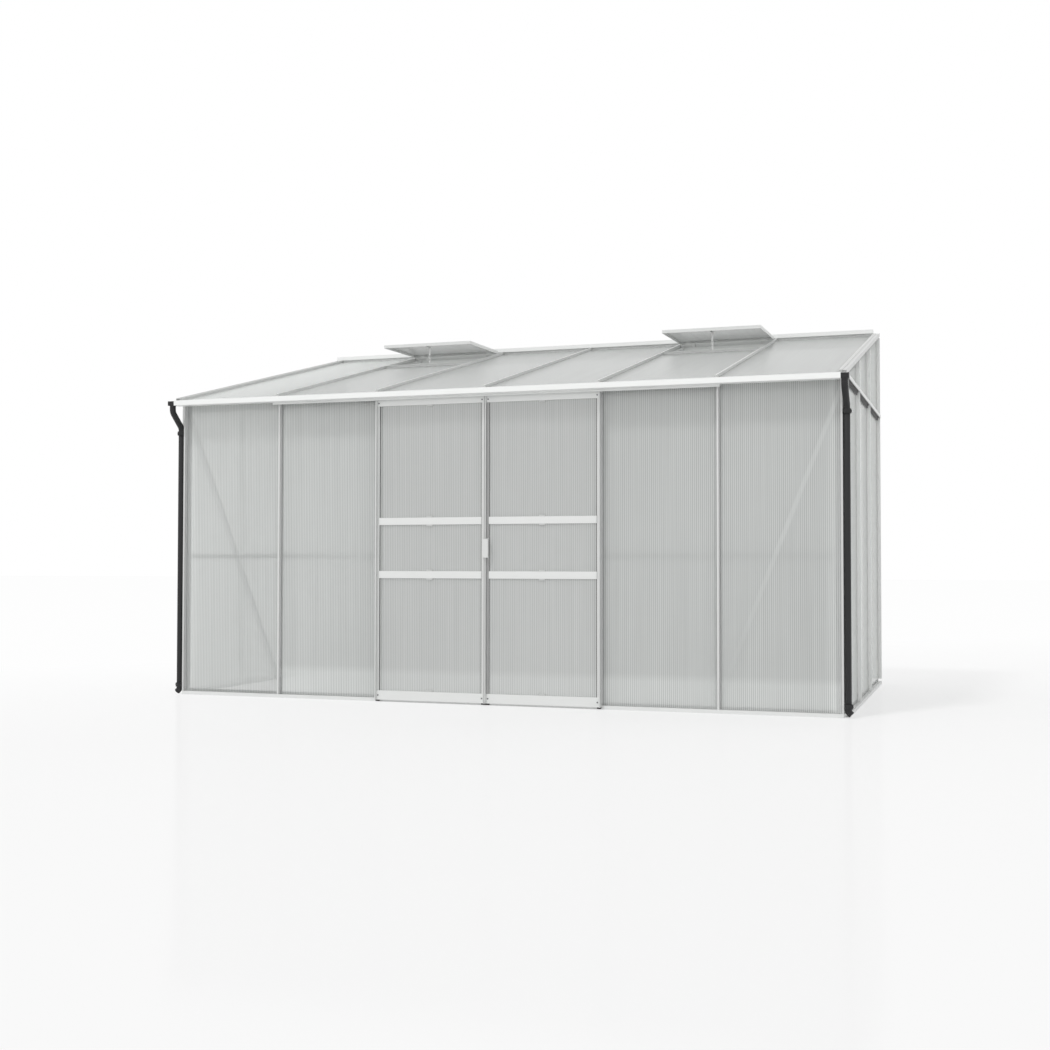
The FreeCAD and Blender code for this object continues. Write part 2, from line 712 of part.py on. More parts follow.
def make_panes():
    panes = []
    height = ("sill_face + pane_gap", "plate_under - pane_gap")
    for span in bay_edges():
        panes.append(box(span, ("pane_face", "pane_back"), height))
    node("front_panes", panes)

    panes = []
    half = "(rib_width / 2 + pane_gap)"
    starts = ["post_rib_high + pane_gap", f"front + gable_bar_pitch + {half}",
              f"front + 2 * gable_bar_pitch + {half}"]
    ends = [f"front + gable_bar_pitch - {half}", f"front + 2 * gable_bar_pitch - {half}",
            "wall - wall_rib - pane_gap"]
    height = ("sill_face + pane_gap", "plate_top - metal / 2 - pane_gap")
    for side in SIDES.values():
        across = mirror("corner_face", "gable_pane_face", side)
        for low, high in zip(starts, ends):
            panes.append(box(across, (low, high), height))
            drop = "under_flange + pane_gap"
            foot = "plate_top + metal / 2 + pane_gap"
            outline = [(low, foot), (high, foot),
                       (high, roof_z(f"({high}) - front", drop)), (low, roof_z(f"({low}) - front", drop))]
            panes.append(profile("YZ", outline, across[0], across[1]))
    node("gable_panes", panes)

    panes = []
    level = ("-under_rib", "-roof_rib_proud")
    outer = (f"bar_x + {half}", "corner_face - verge_rib_inset - pane_gap")
    inner = (f"jamb_x + {half}", f"bar_x - {half}")
    middle = (half, f"jamb_x - {half}")
    for side in SIDES.values():
        for span in (outer, middle):
            panes.append(box(mirror(*span, side), ("-roof_pane_eave", "roof_end"), level, "roof"))
        across = mirror(*inner, side)
        panes.append(box(across, ("-roof_pane_eave", "curb_start"), level, "roof"))
        head = "(vent_hinge + hinge_bar_gap) / cos(roof_pitch)"
        panes.append(box(across, (head, "roof_end"), level, "roof"))
    node("roof_panes", panes)


def make_strips():
    """Flexible strips that hold the panes down beside each rib of the fixed bays."""
    strips = []
    level = ("pane_face - strip_height", "pane_face")
    for side in SIDES.values():
        for place, ways in (("bar_x", (-1, 1)), ("jamb_x", (1,)), ("corner_x", (-1,))):
            for way in ways:
                near = f"({place}) + {way} * rib_width / 2"
                far = f"({near}) + {way} * strip_width"
                low, high = (near, far) if way > 0 else (far, near)
                strips.append(box(mirror(low, high, side), level, ("sill_face", "plate_under - seat_gap")))
    node("glazing_strips", strips)


def make_leaf(name, side):
    """One sliding door leaf: stiles with a proud rib, slotted rails, three panes and its running gear."""
    inner = "leaf_inner"
    outer = "leaf_outer"
    slot_front = "stile_rib_proud + (leaf_thickness - pane) / 2"
    slot_back = "stile_rib_proud + (leaf_thickness + pane) / 2"
    full_depth = "stile_rib_proud + leaf_thickness"
    section = [("0", "0"), ("stile_rib", "0"), ("stile_rib", "stile_rib_proud"),
               ("stile_width", "stile_rib_proud"), ("stile_width", slot_front),
               ("stile_width - stile_slot", slot_front), ("stile_width - stile_slot", slot_back),
               ("stile_width", slot_back), ("stile_width", full_depth), ("0", full_depth)]
    stiles = []
    for edge, way in ((inner, 1), (outer, -1)):
        outline = [(f"{side} * ({edge} + {way} * ({a}))", f"leaf_rib_face + ({b})") for a, b in section]
        stiles.append(profile("XY", outline, "leaf_foot", "leaf_head"))
    node(f"{name}_stiles", stiles)

    between = mirror(f"{inner} + stile_width", f"{outer} - stile_width", side)
    rib_to_rib = mirror(f"{inner} + stile_rib", f"{outer} - stile_rib", side)
    pane_span = mirror(f"{inner} + stile_width - stile_slot", f"{outer} - stile_width + stile_slot", side)

    def slotted(low, high, lower_slot, upper_slot):
        """A rail between the stiles with a slot for the pane below and the pane above."""
        points = [("leaf_face", low)]
        if lower_slot:
            points += [("leaf_pane_face", low), ("leaf_pane_face", f"{low} + rail_slot"),
                       ("leaf_pane_back", f"{low} + rail_slot"), ("leaf_pane_back", low)]
        points += [("leaf_back", low), ("leaf_back", high)]
        if upper_slot:
            points += [("leaf_pane_back", high), ("leaf_pane_back", f"{high} - rail_slot"),
                       ("leaf_pane_face", f"{high} - rail_slot"), ("leaf_pane_face", high)]
        points += [("leaf_face", high)]
        return profile("YZ", points, between[0], between[1])

    def face_plate(low, high, span):
        return box(span, ("rail_face", "leaf_face"), (low, high))

    foot_high = "leaf_foot + bottom_rail_depth"
    rails = {
        "top_rail": ("top_rail_foot", "leaf_head", True, False, rib_to_rib),
        "bottom_rail": ("leaf_foot", foot_high, False, True, rib_to_rib),
    }
    for rail, (low, high, below, above, span) in rails.items():
        node(f"{name}_{rail}", [fuse([slotted(low, high, below, above), face_plate(low, high, span)])])
    mids = []
    for low in ("upper_rail_foot", "lower_rail_foot"):
        high = f"{low} + mid_rail_depth"
        mids.append(fuse([slotted(low, high, True, True), face_plate(low, high, between)]))
    node(f"{name}_mid_rails", mids)

    panes = []
    for low, high in ((f"{foot_high} - rail_slot", "lower_rail_foot + rail_slot"),
                      ("lower_rail_foot + mid_rail_depth - rail_slot", "upper_rail_foot + rail_slot"),
                      ("upper_rail_foot + mid_rail_depth - rail_slot", "top_rail_foot + rail_slot")):
        panes.append(box(pane_span, ("leaf_pane_face", "leaf_pane_back"), (low, high)))
    node(f"{name}_panes", panes)

    # Clips at the middle of each rail edge, bearing on the pane
    clips = []
    centre = "(leaf_inner + leaf_outer) / 2"
    across = mirror(f"{centre} - clip_width / 2", f"{centre} + clip_width / 2", side)
    for edge, way in ((foot_high, 1), ("lower_rail_foot", -1), ("lower_rail_foot + mid_rail_depth", 1),
                      ("upper_rail_foot", -1), ("upper_rail_foot + mid_rail_depth", 1),
                      ("top_rail_foot", -1)):
        low, high = (edge, f"{edge} + clip_height") if way > 0 else (f"{edge} - clip_height", edge)
        clips.append(box(across, ("leaf_face - clip_proud", "leaf_pane_face"), (low, high)))
    node(f"{name}_rail_clips", clips)

    # Running gear: brackets on the top rail, glides under the stiles
    brackets = []
    for near in (f"{inner} + roller_inset", f"{outer} - roller_inset"):
        x = f"({side} * ({near}))"
        across = (f"{x} - bracket_width / 2", f"{x} + bracket_width / 2")
        foot = box(across, ("strap_face", "leaf_back - metal"), ("leaf_head", "leaf_head + metal"))
        strap = box(across, ("strap_face", "strap_face + bracket_plate"),
                    ("leaf_head", "roller_z + axle_radius + axle_wall"))
        axle = rod("Y", x, ("roller_face", "strap_face + bracket_plate"), "roller_z", "axle_radius")
        brackets.append(fuse([foot, strap, axle]))
    node(f"{name}_roller_brackets", brackets)
    for number, near in ((1, f"{inner} + roller_inset"), (2, f"{outer} - roller_inset")):
        x = f"({side} * ({near}))"
        wheel = rod("Y", x, ("roller_face", "roller_back"), "roller_z", "roller_radius")
        bore = rod("Y", x, ("roller_face - overcut", "roller_back + overcut"), "roller_z",
                   "axle_radius + axle_clearance")
        node(f"{name}_roller_{number}", [cut(wheel, [bore])])
    glides = []
    for low, high in ((inner, f"{inner} + stile_width"), (f"{outer} - stile_width", outer)):
        glides.append(box(mirror(low, high, side), ("leaf_face", "leaf_back"),
                          ("leaf_foot - glide_height", "leaf_foot")))
    node(f"{name}_glides", glides)

    # Screws through the ends of the rails
    screws = []
    for low in ("top_rail_foot + (leaf_head - top_rail_foot) / 2", "leaf_foot + bottom_rail_depth / 2"):
        for near in (f"{inner} + screw_inset", f"{outer} - screw_inset"):
            screws.append(rod("Y", f"{side} * ({near})", ("rail_face - screw_height", "rail_face"), low,
                              "screw_radius"))
    node(f"{name}_screws", screws)


def make_handle():
    """A plain block handle reaching over the meeting line, and the foot that holds it to its stile."""
    height = ("handle_foot", "handle_foot + handle_height")
    back = "leaf_rib_face - handle_pad"
    pad = box(("leaf_inner", "leaf_inner + stile_rib"), (back, "leaf_rib_face"), height)
    grip = box(("-handle_reach", "handle_width - handle_reach"), (f"{back} - handle_depth", back), height)
    seat = box(("leaf_inner + stile_rib", "leaf_inner + stile_width"), (back, "leaf_face"), height)
    node("door_right_handle", [fuse([pad, seat]), grip])


def vent_centre(side):
    return f"({side} * ({PLACES['vent_x']}))"


def make_vent(name, side):
    """A roof vent on its hinge rod, standing open on its stay."""
    x = vent_centre(side)
    left = f"{x} - vent_width / 2"
    right = f"{x} + vent_width / 2"
    low = "-vent_below"
    top = "vent_height - vent_below"
    length = ("-vent_length", "vent_heel")
    shell = box((left, right), length, (low, top), "vent")
    hollow = box((f"{left} + metal", f"{right} - metal"), ("-vent_length + metal", "vent_heel - metal"),
                 (f"{low} - overcut", f"{top} - metal"), "vent")
    window = box((f"{left} + vent_flange", f"{right} - vent_flange"),
                 ("-vent_length + vent_flange", "vent_heel - vent_flange"),
                 (f"{top} - metal - overcut", f"{top} + overcut"), "vent")
    knuckles = []
    bores = []
    for start, end in ((f"{left} + knuckle_inset", f"{left} + knuckle_inset + knuckle_length"),
                       (f"{right} - knuckle_inset - knuckle_length", f"{right} - knuckle_inset")):
        tube = rod("X", (start, end), "0", "0", "knuckle_radius", "vent")
        web = box((start, end), ("-knuckle_radius", "vent_heel"), ("0", f"{top} - metal"), "vent")
        knuckles += [tube, web]
        bores.append(rod("X", (f"{start} - overcut", f"{end} + overcut"), "0", "0",
                         "hinge_rod_radius + hinge_clearance", "vent"))
    frame = cut(shell, [hollow, window])
    node(f"{name}_frame", [cut(fuse([frame] + knuckles), bores)])

    sheet_pane = box((f"{left} + metal", f"{right} - metal"),
                     ("-vent_length + metal", "-knuckle_radius - knuckle_gap"),
                     (f"{top} - metal - pane", f"{top} - metal"), "vent")
    node(f"{name}_pane", [sheet_pane])

    # Bracket on the lower rail, with the stay's pivot pin
    half = "stay_width / 2 + cheek_gap + metal"
    pivot = "-stay_pivot"
    plate = box((f"{x} - ({half})", f"{x} + ({half})"),
                ("-vent_length + metal", f"{pivot} - cheek_plate_gap"),
                (f"{top} - metal - pane - metal", f"{top} - metal - pane"), "vent")
    cheeks = []
    for sign in (-1, 1):
        near = f"{x} + {sign} * (stay_width / 2 + cheek_gap)"
        far = f"{near} + {sign} * metal"
        span = (near, far) if sign > 0 else (far, near)
        # the cheeks start behind the curb that the closed vent lies on
        start = "-vent_length + vent_overhang + pane_gap + metal + curb_clearance"
        cheeks.append(box(span, (start, f"{pivot} + cheek_reach"),
                          ("-cheek_reach", f"{top} - metal - pane"), "vent"))
    pin = rod("X", (f"{x} - ({half})", f"{x} + ({half})"), pivot, "0", "stay_pin_radius", "vent")
    node(f"{name}_stay_bracket", [fuse([plate] + cheeks + [pin])])

    # The stay hangs plumb from its pin, over the peg
    across = (f"{x} - stay_width / 2", f"{x} + stay_width / 2")
    bar = box(across, ("stay_pin_y - stay_thickness / 2", "stay_pin_y + stay_thickness / 2"),
              ("peg_z - stay_hole_inset", "stay_pin_z"))
    eye = rod("X", across, "stay_pin_y", "stay_pin_z", "stay_pin_radius + stay_eye_wall")
    eye_bore = rod("X", (f"{across[0]} - overcut", f"{across[1]} + overcut"), "stay_pin_y", "stay_pin_z",
                   "stay_pin_radius + hinge_clearance")
    holes = []
    deep = ("stay_pin_y - stay_thickness", "stay_pin_y + stay_thickness")
    for step in range(4):
        holes.append(rod("Y", x, deep, f"peg_z + {step} * stay_hole_pitch", "stay_hole_radius"))
    node(f"{name}_stay", [cut(fuse([bar, eye]), [eye_bore] + holes)])


def make_vent_seats():
    """Bars across the vent bays: a curb under the free edge and a bar with the hinge rod at the head.

    A peg stands out of each curb's back, and the vent's stay hangs over it.
    """
    bars = []
    pegs = []
    for side in SIDES.values():
        x = vent_centre(side)
        upper_half = "bay / 2 - rib_width / 2"
        lower_half = "bay / 2 - bar_flange / 2"
        upper = (f"{x} - ({upper_half})", f"{x} + ({upper_half})")
        lower = (f"{x} - ({lower_half})", f"{x} + ({lower_half})")
        plate = ("curb_start + pane_gap", "curb_start + pane_gap + metal")
        curb = box(upper, plate, ("-under_rib", "0"), "roof")
        skirt = box(lower, plate, ("-curb_drop", "-under_rib"), "roof")
        seat = box(lower, ("curb_start - curb_seat", plate[1]), ("-under_flange", "-under_rib"), "roof")
        lip = box(upper, ("curb_start - curb_lip", plate[1]), ("-metal", "0"), "roof")
        bars.append(fuse([curb, skirt, seat, lip]))

        hinge = "vent_hinge / cos(roof_pitch)"
        head = "(vent_hinge + hinge_bar_gap) / cos(roof_pitch)"
        lug_low = f"{hinge} - hinge_rod_radius - metal"
        shelf = box(lower, (lug_low, f"{head} + curb_seat"), ("-under_flange", "-under_rib"), "roof")
        upright = box(upper, (f"{head} - pane_gap - metal", f"{head} - pane_gap"),
                      ("-under_rib", "-vent_lift"), "roof")
        lugs = []
        for sign in (-1, 1):
            near = f"{x} + {sign} * (vent_width / 2 - knuckle_inset - knuckle_length - knuckle_gap)"
            far = f"({near}) - {sign} * lug_width"
            span = (far, near) if sign > 0 else (near, far)
            lugs.append(box(span, (lug_low, f"{hinge} + hinge_rod_radius"),
                            ("-under_rib", "vent_lift + hinge_rod_radius"), "roof"))
        reach = "vent_width / 2 - knuckle_inset + knuckle_gap"
        hinge_rod = rod("X", (f"{x} - ({reach})", f"{x} + ({reach})"), "0", "0", "hinge_rod_radius", "vent")
        bars.append(fuse([shelf, upright] + lugs + [hinge_rod]))

        deep = ("front + curb_start * cos(roof_pitch)", "stay_pin_y + peg_end")
        peg = rod("Y", x, deep, "peg_z", "peg_radius")
        before = box(lower, ("curb_start - curb_seat", plate[1]), ("-curb_drop", "0"), "roof")
        pegs.append(cut(peg, [before]))
    node("vent_curb_bars", bars)
    node("stay_pegs", pegs)


def make_outlets():
    """Outlet boxes on the gutter's ends, each with a neck for the downpipe."""
    outlets = []
    for side in SIDES.values():
        x = f"({side} * ({PLACES['pipe_x']}))"
        y = ("lip", "lip + outlet_depth")
        shell = box(mirror("gutter_end", "gutter_end + outlet_width", side), y,
                    ("eaves_height", "plate_top"))
        neck = rod("Z", x, "neck_y", ("eaves_height - outlet_neck", "eaves_height + metal"), "pipe_radius")
        bore = rod("Z", x, "neck_y", ("eaves_height - outlet_neck - overcut", "plate_top - metal"),
                   "pipe_radius - pipe_wall")
        mouth = box(mirror("gutter_end - overcut", "pipe_x", side),
                    ("neck_y - outlet_mouth / 2", "neck_y + outlet_mouth / 2"),
                    ("eaves_height + metal", "plate_top - metal"))
        outlets.append(cut(fuse([shell, neck]), [bore, mouth]))
    node("gutter_outlets", outlets)


def bent_wire(points, radius):
    """Straight runs through points, joined by tangent arcs."""
    edges = []
    start = points[0]
    for corner, after in zip(points[1:-1], points[2:]):
        into = (corner - start).normalize()
        away = (after - corner).normalize()
        turn = into.getAngle(away)
        reach = radius * math.tan(turn / 2)
        arc_start = corner - into * reach
        arc_end = corner + away * reach
        to_centre = (away - into).normalize()
        centre = corner + to_centre * (radius / math.cos(turn / 2))
        middle = centre - to_centre * radius
        edges.append(Part.LineSegment(start, arc_start).toShape())
        edges.append(Part.Arc(arc_start, middle, arc_end).toShape())
        start = arc_end
    edges.append(Part.LineSegment(start, points[-1]).toShape())
    return Part.Wire(edges)


def swept(path, radius):
    """A round solid along a path that starts straight down."""
    start = path.Vertexes[0].Point
    circle = Part.Circle(start, FreeCAD.Vector(0, 0, -1), radius).toShape()
    return path.makePipeShell([Part.Wire([circle])], True, False)


def bent_pipes(name, points, radius, y):
    """A bent pipe on each side. Its points run through X outward from the downpipe's middle, Y and Z."""
    pipes = []
    for side in SIDES.values():
        path = bent_wire([FreeCAD.Vector(side * across, deep, up) for across, deep, up in points], radius)
        pipe = doc.addObject("Part::Feature", "bend")
        pipe.Shape = swept(path, size("pipe_radius")).cut(swept(path, size("pipe_radius") - size("pipe_wall")))
        pipe.Placement = FreeCAD.Placement()
        bind(pipe, "Placement.Base.x", f"{side} * ({PLACES['pipe_x']})")
        bind(pipe, "Placement.Base.y", y)
        pipes.append(pipe)
    node(name, pipes)


def make_offsets():
    """Bent pipes from the outlets back to the corner posts."""
    eaves = size("eaves_height")
    neck_set = size("gutter_reach") - size("pipe_radius") - size("pipe_wall")
    points = [(0, -neck_set, eaves - size("outlet_neck")), (0, -neck_set, eaves - size("neck_drop")),
              (0, size("pipe_set"), eaves - size("offset_drop")),
              (0, size("pipe_set"), eaves - size("collar_top_drop"))]
    bent_pipes("downpipe_offsets", points, size("bend_radius"), "front")


def make_shoes():
    """Elbows at the feet of the downpipes that turn the water outward."""
    turn = math.radians(size("shoe_turn"))
    out = size("shoe_tail") * math.sin(turn)
    down = size("shoe_tail") * math.cos(turn)
    knee = size("shoe_knee")
    points = [(0, 0, size("collar_foot_mid")), (0, 0, knee), (out, 0, knee - down)]
    bent_pipes("downpipe_shoes", points, size("shoe_bend_radius"), "pipe_y")


def make_downpipes():
    pipes = []
    collars = []
    for side in SIDES.values():
        x = f"({side} * ({PLACES['pipe_x']}))"
        pipe = rod("Z", x, "pipe_y", ("collar_foot_mid", "collar_top_mid"), "pipe_radius")
        bore = rod("Z", x, "pipe_y", ("collar_foot_mid - overcut", "collar_top_mid + overcut"),
                   "pipe_radius - pipe_wall")
        pipes.append(cut(pipe, [bore]))
        for middle in ("collar_top_mid", "collar_foot_mid"):
            span = (f"{middle} - collar_height / 2", f"{middle} + collar_height / 2")
            past = (f"{span[0]} - overcut", f"{span[1]} + overcut")
            ring = rod("Z", x, "pipe_y", span, "collar_radius")
            lug = box(mirror("pipe_x + pipe_radius", "pipe_x + collar_radius + collar_lug", side),
                      ("pipe_y - collar_lug_half", "pipe_y + collar_lug_half"),
                      (f"{middle} - collar_lug_half", f"{middle} + collar_lug_half"))
            # the collar is flat where it lies against the post
            flat = box(mirror("pipe_x - collar_radius - overcut", "corner_face", side),
                       ("pipe_y - collar_radius - overcut", "pipe_y + collar_radius + overcut"), past)
            rib = box(mirror("corner_face - overcut", "gable_face + overcut", side),
                      ("post_rib_low", "post_rib_high"), past)
            hole = rod("Z", x, "pipe_y", past, "pipe_radius")
            collars.append(cut(fuse([ring, lug]), [hole, flat, rib]))
    node("downpipes", pipes)
    node("downpipe_collars", collars)


def bolt(x, z, start, seat):
    """A channel bolt along Y: a square head in a bar's channel at start, a nut on a plate at seat."""
    head = box((f"{x} - bolt_head / 2", f"{x} + bolt_head / 2"), (start, f"{start} + bolt_radius"),
               (f"{z} - bolt_head / 2", f"{z} + bolt_head / 2"))
    shank = rod("Y", x, (start, f"{seat} + nut_height + bolt_end"), z, "bolt_radius")
    nut = doc.addObject("Part::Prism", "nut")
    nut.Polygon = 6
    bind(nut, "Circumradius", "nut_radius")
    bind(nut, "Height", "nut_height")
    set_place(nut, x, seat, z, None, (FreeCAD.Vector(1, 0, 0), -90))
    return fuse([head, shank, nut])


def make_bolts():
    """Bolts of the front wall, spacers at the corner posts, and screws in the collars' lugs."""
    bolts = []
    start = "flange_back + seat_gap"
    rail_seat = "leg_back + mid_rail_thickness"
    middle = "mid_rail_height + mid_rail_face / 2"
    for side in SIDES.values():
        for place in ("jamb_x", "bar_x"):
            x = f"({side} * ({PLACES[place]}))"
            bolts.append(bolt(x, "(eaves_height - web_bolt_drop)", start, "leg_back + metal"))
            bolts.append(bolt(x, f"({middle})", start, rail_seat))
        x = f"({side} * ({PLACES['bar_x']}))"
        foot = bolt(x, "brace_foot", start, f"{rail_seat} + metal")
        washer = rod("Y", x, ("leg_back", rail_seat), "brace_foot", "nut_radius + washer_rim")
        bolts.append(fuse([foot, washer]))
        x = f"({side} * ({PLACES['post_bolt_x']}))"
        for z, plate, seat in ((f"({middle})", "leg_back", rail_seat),
                               ("brace_top", rail_seat, f"{rail_seat} + metal")):
            spacer = rod("Y", x, ("post_rib_high", plate), z, "bolt_radius + spacer_wall")
            shank = rod("Y", x, (plate, f"{seat} + nut_height"), z, "bolt_radius")
            cap = rod("Y", x, (seat, f"{seat} + nut_height"), z, "nut_radius")
            bolts.append(fuse([spacer, shank, cap]))
        lug_face = "pipe_x + collar_radius + collar_lug"
        across = mirror(lug_face, f"{lug_face} + screw_height", side)
        for z in ("collar_top_mid", "collar_foot_mid"):
            bolts.append(rod("X", across, "pipe_y", z, "screw_radius"))
    node("frame_bolts", bolts)


def make_stops():
    """Stops in the ends of the door track."""
    stops = []
    for side in SIDES.values():
        stops.append(box(mirror("bar_x + track_overrun - stop_length", "bar_x + track_overrun", side),
                         ("track_face + metal", "track_face + track_lip"),
                         ("track_low + metal", "plate_under - metal")))
    node("door_stops", stops)


def check_and_export():
    """Refuse to write anything unless each piece came out right."""
    doc.recompute()
    failed = [item.Name for item in doc.Objects if "Invalid" in item.State or "Error" in item.State]
    if failed:
        raise RuntimeError("failed objects: " + ", ".join(failed))
    for item in nodes:
        if item.Shape.isNull() or not item.Shape.isValid() or not item.Shape.Solids:
            raise RuntimeError("bad shape: " + item.Label)
    os.makedirs("parts", exist_ok=True)
    for item in nodes:
        item.Shape.exportStep(f"parts/{item.Label}.step")
    print(len(nodes), "sub-parts,", sum(len(item.Shape.Solids) for item in nodes), "solids")


make_sills()
make_posts()
make_front_bars()
make_gable_bars()
make_eaves_rails()
make_verges()
make_roof_bars()
make_ridge_plate()
make_gutter()
make_inner_rails()
make_vent_seats()
make_panes()
make_strips()
make_outlets()
make_offsets()
make_shoes()
make_downpipes()
make_bolts()
make_stops()
for leaf, direction in SIDES.items():
    make_leaf(f"door_{leaf}", direction)
make_handle()
for vent, direction in SIDES.items():
    make_vent(f"vent_{vent}", direction)
check_and_export()
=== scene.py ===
"""Looks of the lean-to greenhouse: finishes, small fittings, lights and the camera.

Everything is in metres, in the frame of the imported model: X along the front, Y from front to back,
Z up.
"""
import json
import math

import bmesh
import bpy
from mathutils import Matrix, Vector


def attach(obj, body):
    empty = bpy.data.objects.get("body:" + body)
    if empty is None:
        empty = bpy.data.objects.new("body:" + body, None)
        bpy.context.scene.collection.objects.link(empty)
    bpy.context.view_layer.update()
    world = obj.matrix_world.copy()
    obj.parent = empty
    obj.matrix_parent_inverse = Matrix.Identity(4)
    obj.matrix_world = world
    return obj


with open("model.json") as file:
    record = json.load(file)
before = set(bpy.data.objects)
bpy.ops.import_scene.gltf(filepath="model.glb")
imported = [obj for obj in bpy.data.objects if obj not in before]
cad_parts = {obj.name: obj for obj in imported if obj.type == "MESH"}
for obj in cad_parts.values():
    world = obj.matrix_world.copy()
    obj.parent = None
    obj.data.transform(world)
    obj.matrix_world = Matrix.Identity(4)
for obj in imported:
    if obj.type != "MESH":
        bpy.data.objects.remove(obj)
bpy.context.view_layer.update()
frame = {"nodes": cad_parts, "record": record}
nodes = frame["nodes"]

# Camera: where it stands, how it is turned in degrees, its focal length in pixels of the 1050 pixel
# frame, and how far it sees
CAMERA_PLACE = Vector((2.5875, -7.9176, 0.7600))
CAMERA_YAW = 18.818
CAMERA_PITCH = 1.592
CAMERA_ROLL = 0.054
FOCAL_PIXELS = 1377.96
FRAME_PIXELS = 1050
SENSOR_WIDTH = 36.0
VIEW_DEPTH = 200

# Twin-wall sheet: distance from one inner web to the next, how narrow the webs look, the tones
# between them and on them, and how much of the webs' contrast is left where a brace lies behind
# them
FLUTE_PITCH = 0.0103
WEB_SHARPNESS = 2.0
WEB_TONES = (1.20, 0.72)
WEBS_ON_BRACE = 0.6

# How much goes straight through each face of a sheet, and how much of the rest is scattered onward.
# The fine streaks along the flutes: their strength, how far they are drawn out, and the part of
# their noise that counts
SHEET_CLEAR = 0.28
SHEET_GLOW = 0.35
SHEET_STREAK = 0.05
STREAK_STRETCH = 0.01
STREAK_SPAN = (0.3, 0.7)

# How far the die lines on the aluminium are drawn out
DIE_STRETCH = 0.02

# Painted light: the sheets are paler towards the left gable, where light falls in. Where along X
# the change ends
PALE_END = -1.75

# The pale floor lights the foot of the front sheets: how much, and the heights where that ends and
# starts
FOOT_GLOW = 0.17
FOOT_LOW = 0.15
FOOT_HIGH = 0.19

# In the lit left bay the floor's light hardly shows: from where along X it does
FOOT_FROM = -1.30
FOOT_TO = -1.22

# The front sheets are a little darker low down: how much, and between which heights that fades
LOW_SHADE = 0.035
LOW_FROM = 0.30
LOW_TO = 0.95

# Front bars: the first one's distance from the middle, the step to the next, the last one's place,
# half a flange, how soft its edge looks through the sheet, and the painted shade that it gives the
# sheet, where the flange keeps light from coming through
FIRST_BAR = 0.63575
BAR_STEP = 0.62
LAST_BAR = 1.6
HALF_FLANGE = 0.015
FLANGE_BLUR = 0.002
FLANGE_SHADE = 0.90

# How clear the front sheets are: from the lit bay at the left to the rest, with the painted light
# that evens their brightness
CLEAR_FROM = -1.45
CLEAR_TO = -0.80
CLEAR_AT_LEFT = 0.40
CLEAR_AT_RIGHT = 0.08
TONE_AT_LEFT = 0.985
TONE_AT_RIGHT = 1.135

# The braces lie close behind the sheet, and a band is painted on it over them: painted shade at
# the left, and at the right painted shade at its foot and painted light at its head. The band's
# line across X and up Z, its offset, its edges, its tones, the heights between which the right one
# changes, and how far from the middle the sides end
BRACE_ACROSS = 0.9303
BRACE_UP = 0.3667
BRACE_OFFSET = 1.1426
BRACE_CORE = 0.007
BRACE_FADE = 0.015
BRACE_LEFT_SHADE = -0.12
BRACE_FOOT_SHADE = -0.06
BRACE_HEAD_LIGHT = 0.065
BRACE_LOW = 0.12
BRACE_HIGH = 0.95
BRACE_SIDES = 0.5

# Beyond this distance from the middle the corner posts throw light back onto the front sheets
POST_LIGHT = 1.79
POST_REACH = 0.07
POST_GLOW = 0.26

# Gasket lips along the door panes: how wide they are, how far they stand out, at their ridge and
# at its shoulders, the pane's outer face, the lips' outer edges from the middle, and the clear
# heights
LIP_WIDTH = 0.003
LIP_PROUD = 0.002
LIP_SHOULDER = 0.0012
LEAF_SHEET = -0.984
LEAF_INNER_EDGE = 0.0215
LEAF_OUTER_EDGE = 0.6217
LEAF_SPANS = ((0.0625, 0.6775), (0.7175, 0.9695), (1.0095, 1.6245))

# Gasket under each gable's eaves rail, whose near-black also stands in for the shade under the
# rail as painted shade: the sheet's outer face, the rail's underside, the clear spans between the
# bars, the lip's section out from the sheet and down from the rail, and its rounding
GABLE_SHEET = 1.88675
RAIL_UNDER = 1.691
GABLE_BAYS = ((-0.9345, -0.3235), (-0.3125, 0.3315), (0.3425, 1.0645))
GASKET_LIP = ((0.0, 0.0), (0.0, -0.020), (0.003, -0.024), (0.006, -0.020), (0.006, -0.010),
              (0.012, -0.004), (0.012, 0.0))
GASKET_ROUND = 0.0004

# Brush seal on the right leaf's meeting stile, whose grey also stands in for the shadow of the
# stile's rib as painted shade: its section in X and Y, and its clear heights beside the handle
BRUSH = ((0.0080, -0.987), (0.0086, -0.9895), (0.0130, -0.9902), (0.0195, -0.9895),
         (0.0205, -0.987))
BRUSH_SPANS = ((0.063, 0.785), (0.895, 1.624))

# Rounded edges of metal and plastic pieces: the width, its steps, the angle from which an edge is
# rounded, and the distance at which double corners are joined first
EDGE_ROUND = 0.0005
ROUND_STEPS = 2
EDGE_ANGLE = 40
WELD_DISTANCE = 0.00001

# Colours, linear
ALUMINIUM = (0.80, 0.81, 0.80)
SHEET = (0.60, 0.613, 0.605)
SHEET_INNER = (0.80, 0.81, 0.80, 1)
PIPE_BLACK = (0.018, 0.018, 0.019)
SEAL_GREY = (0.60, 0.60, 0.60)
GASKET_GREY = (0.06, 0.06, 0.06)
BRUSH_AND_SHADE_GREY = (0.40, 0.40, 0.40)
NYLON_BLACK = (0.03, 0.03, 0.03)
ZINC = (0.72, 0.73, 0.74)
DULL_STEEL = (0.20, 0.20, 0.21)
FLOOR = (0.90, 0.90, 0.90, 1)
FLOOR_SEEN = (0.40, 0.40, 0.40, 1)
WHITE = (1, 1, 1, 1)

# The floor: its size, how much the seen one is lifted towards white, and its faint mirror sheen.
# It fades to white from one distance to another along a line away to the back left
FLOOR_SIZE = 120
FLOOR_LIFT = 0.555
FLOOR_SHEEN = 0.06
SHEEN_ROUGHNESS = 0.12
FADE_AWAY = (-0.70, 0.71, 0.0)
FADE_START = -1.4
FADE_END = 3.2

